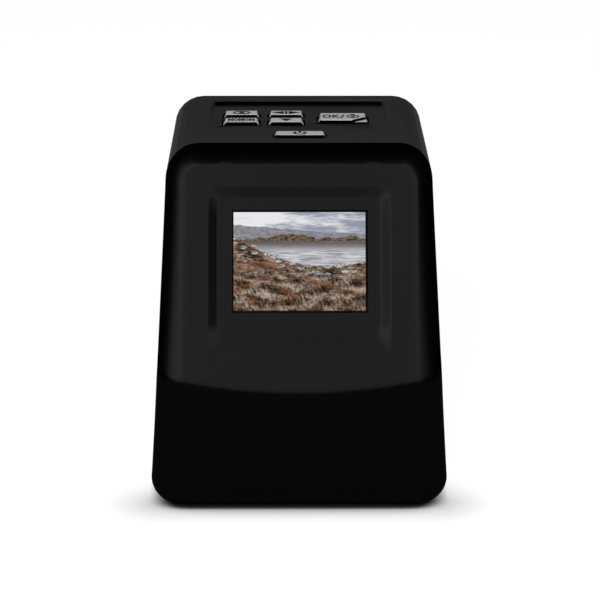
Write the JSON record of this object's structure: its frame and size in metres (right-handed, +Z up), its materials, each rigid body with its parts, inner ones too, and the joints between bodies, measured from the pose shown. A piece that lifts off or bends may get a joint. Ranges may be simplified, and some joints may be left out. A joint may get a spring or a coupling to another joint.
{
  "type": "film scanner",
  "caption": "Compact upright desktop scanner for film and mounted slides: leaning display panel, sprung top keys, a film slot from side to side and rear sockets.",
  "frame": {"origin": "on the table, under the middle of the case", "axes": "+X to the viewer's right, +Y to the rear, +Z up; the display faces -Y"},
  "size_m": [0.089, 0.0874, 0.1048],
  "materials": {
    "satin_black": "satin black, fine texture",
    "gloss_black": "smooth black, semi-gloss",
    "inner_black": "dull black",
    "silver_key": "silver-grey paint with dark symbols",
    "clear_window": "clear, polished",
    "picture_glass": "lit display",
    "plain_steel": "plain",
    "white_plastic": "moulded",
    "opal": "translucent white",
    "green_board": "solder mask",
    "chip_black": "moulded",
    "lens_tint": "coated",
    "rubber": "matte",
    "ribbon_film": "amber film"
  },
  "bodies": {
    "housing": {"card_socket": "plain_steel", "case_screw_front_left": "plain_steel", "case_screw_front_right": "plain_steel", "case_screw_rear_left": "plain_steel", "case_screw_rear_right": "plain_steel", "diffuser": "opal", "display_board": "green_board", "display_panel": "picture_glass", "display_ribbon": "ribbon_film", "display_tray": "white_plastic", "display_window": "clear_window", "foot_front_left": "rubber", "foot_front_right": "rubber", "foot_rear_left": "rubber", "foot_rear_right": "rubber", "front_fascia": "gloss_black", "image_sensor": "chip_black", "key_board": "green_board", "key_board_screw_left": "plain_steel", "key_board_screw_right": "plain_steel", "key_ribbon": "ribbon_film", "led_left": "opal", "led_middle": "opal", "led_right": "opal", "lens_barrel": "inner_black", "lens_glass": "lens_tint", "light_board": "green_board", "light_box": "white_plastic", "lower_film_track": "inner_black", "lower_housing": "satin_black", "main_board": "green_board", "optical_chamber": "inner_black", "processor": "chip_black", "rear_cover": "satin_black", "sensor_board": "green_board", "sensor_ribbon": "ribbon_film", "switch_capture": "chip_black", "switch_down": "chip_black", "switch_flip": "chip_black", "switch_mode": "chip_black", "switch_power": "chip_black", "switch_up": "chip_black", "tv_out_socket": "chip_black", "upper_film_track": "inner_black", "upper_housing": "satin_black", "usb_socket": "plain_steel"},
    "key_flip_body": {"key_flip": "silver_key", "plunger_flip": "white_plastic"},
    "key_mode_body": {"key_mode": "silver_key", "plunger_mode": "white_plastic"},
    "key_up_body": {"key_up": "silver_key", "plunger_up": "white_plastic"},
    "key_down_body": {"key_down": "silver_key", "plunger_down": "white_plastic"},
    "key_capture_body": {"key_capture": "silver_key", "plunger_capture": "white_plastic"},
    "key_power_body": {"key_power": "silver_key", "plunger_power": "white_plastic"}
  },
  "joints": [
    {"name": "flip_press", "type": "slide", "parent": "housing", "child": "key_flip_body", "axis": [0, 0, -1], "range_m": [0, 0.0005], "stiffness_N_per_m": 200, "springref_m": -0.001},
    {"name": "mode_press", "type": "slide", "parent": "housing", "child": "key_mode_body", "axis": [0, 0, -1], "range_m": [0, 0.0005], "stiffness_N_per_m": 200, "springref_m": -0.001},
    {"name": "up_press", "type": "slide", "parent": "housing", "child": "key_up_body", "axis": [0, 0, -1], "range_m": [0, 0.0005], "stiffness_N_per_m": 200, "springref_m": -0.001},
    {"name": "down_press", "type": "slide", "parent": "housing", "child": "key_down_body", "axis": [0, 0, -1], "range_m": [0, 0.0005], "stiffness_N_per_m": 200, "springref_m": -0.001},
    {"name": "capture_press", "type": "slide", "parent": "housing", "child": "key_capture_body", "axis": [0, 0, -1], "range_m": [0, 0.0005], "stiffness_N_per_m": 200, "springref_m": -0.001},
    {"name": "power_press", "type": "slide", "parent": "housing", "child": "key_power_body", "axis": [0, 0, -1], "range_m": [0, 0.0005], "stiffness_N_per_m": 200, "springref_m": -0.001}
  ]
}
